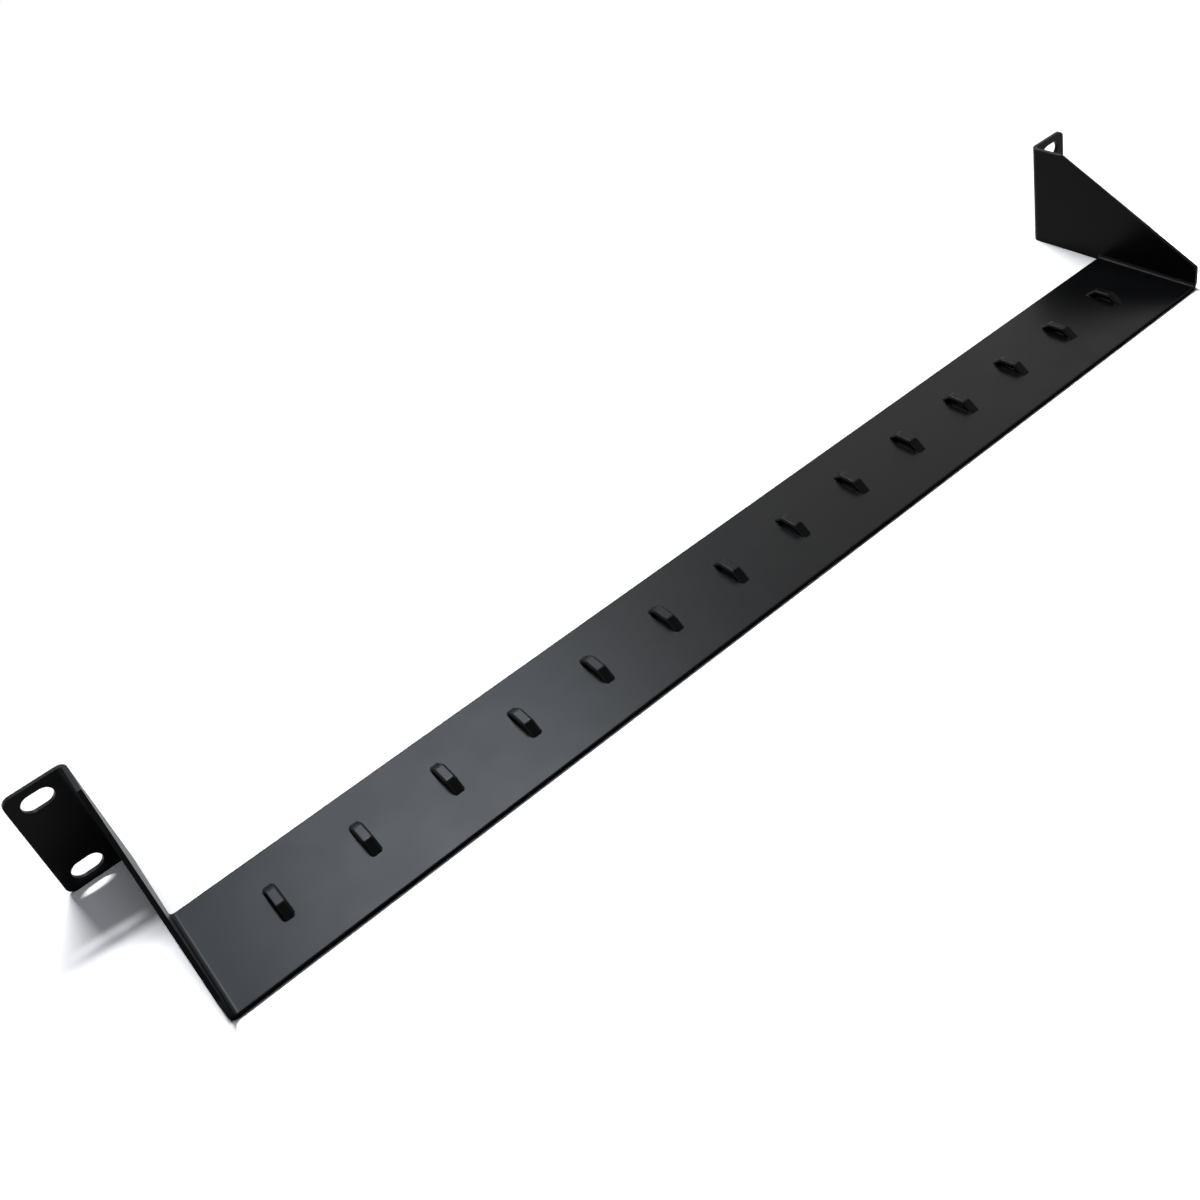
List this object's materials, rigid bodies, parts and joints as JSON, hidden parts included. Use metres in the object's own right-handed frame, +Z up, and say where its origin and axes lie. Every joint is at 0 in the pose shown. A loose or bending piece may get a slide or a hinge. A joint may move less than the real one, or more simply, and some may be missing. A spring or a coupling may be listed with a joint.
{
  "type": "rack cable organizer",
  "caption": "Folded steel cable bar for an equipment rack: a flat strip with a row of lanced tie bridges, sloping side arms and slotted rack ears.",
  "frame": {"origin": "on the surface that the strip lies on, midway between the ears and midway from the strip's front edge to the ears' back faces", "axes": "+X along the strip to the right ear, +Y from the strip's front edge back to the rack, +Z up"},
  "size_m": [0.4826, 0.0816, 0.044],
  "materials": {
    "powder_coat": "semi-gloss"
  },
  "bodies": {
    "root": {"cable_organizer": "powder_coat"}
  },
  "joints": []
}
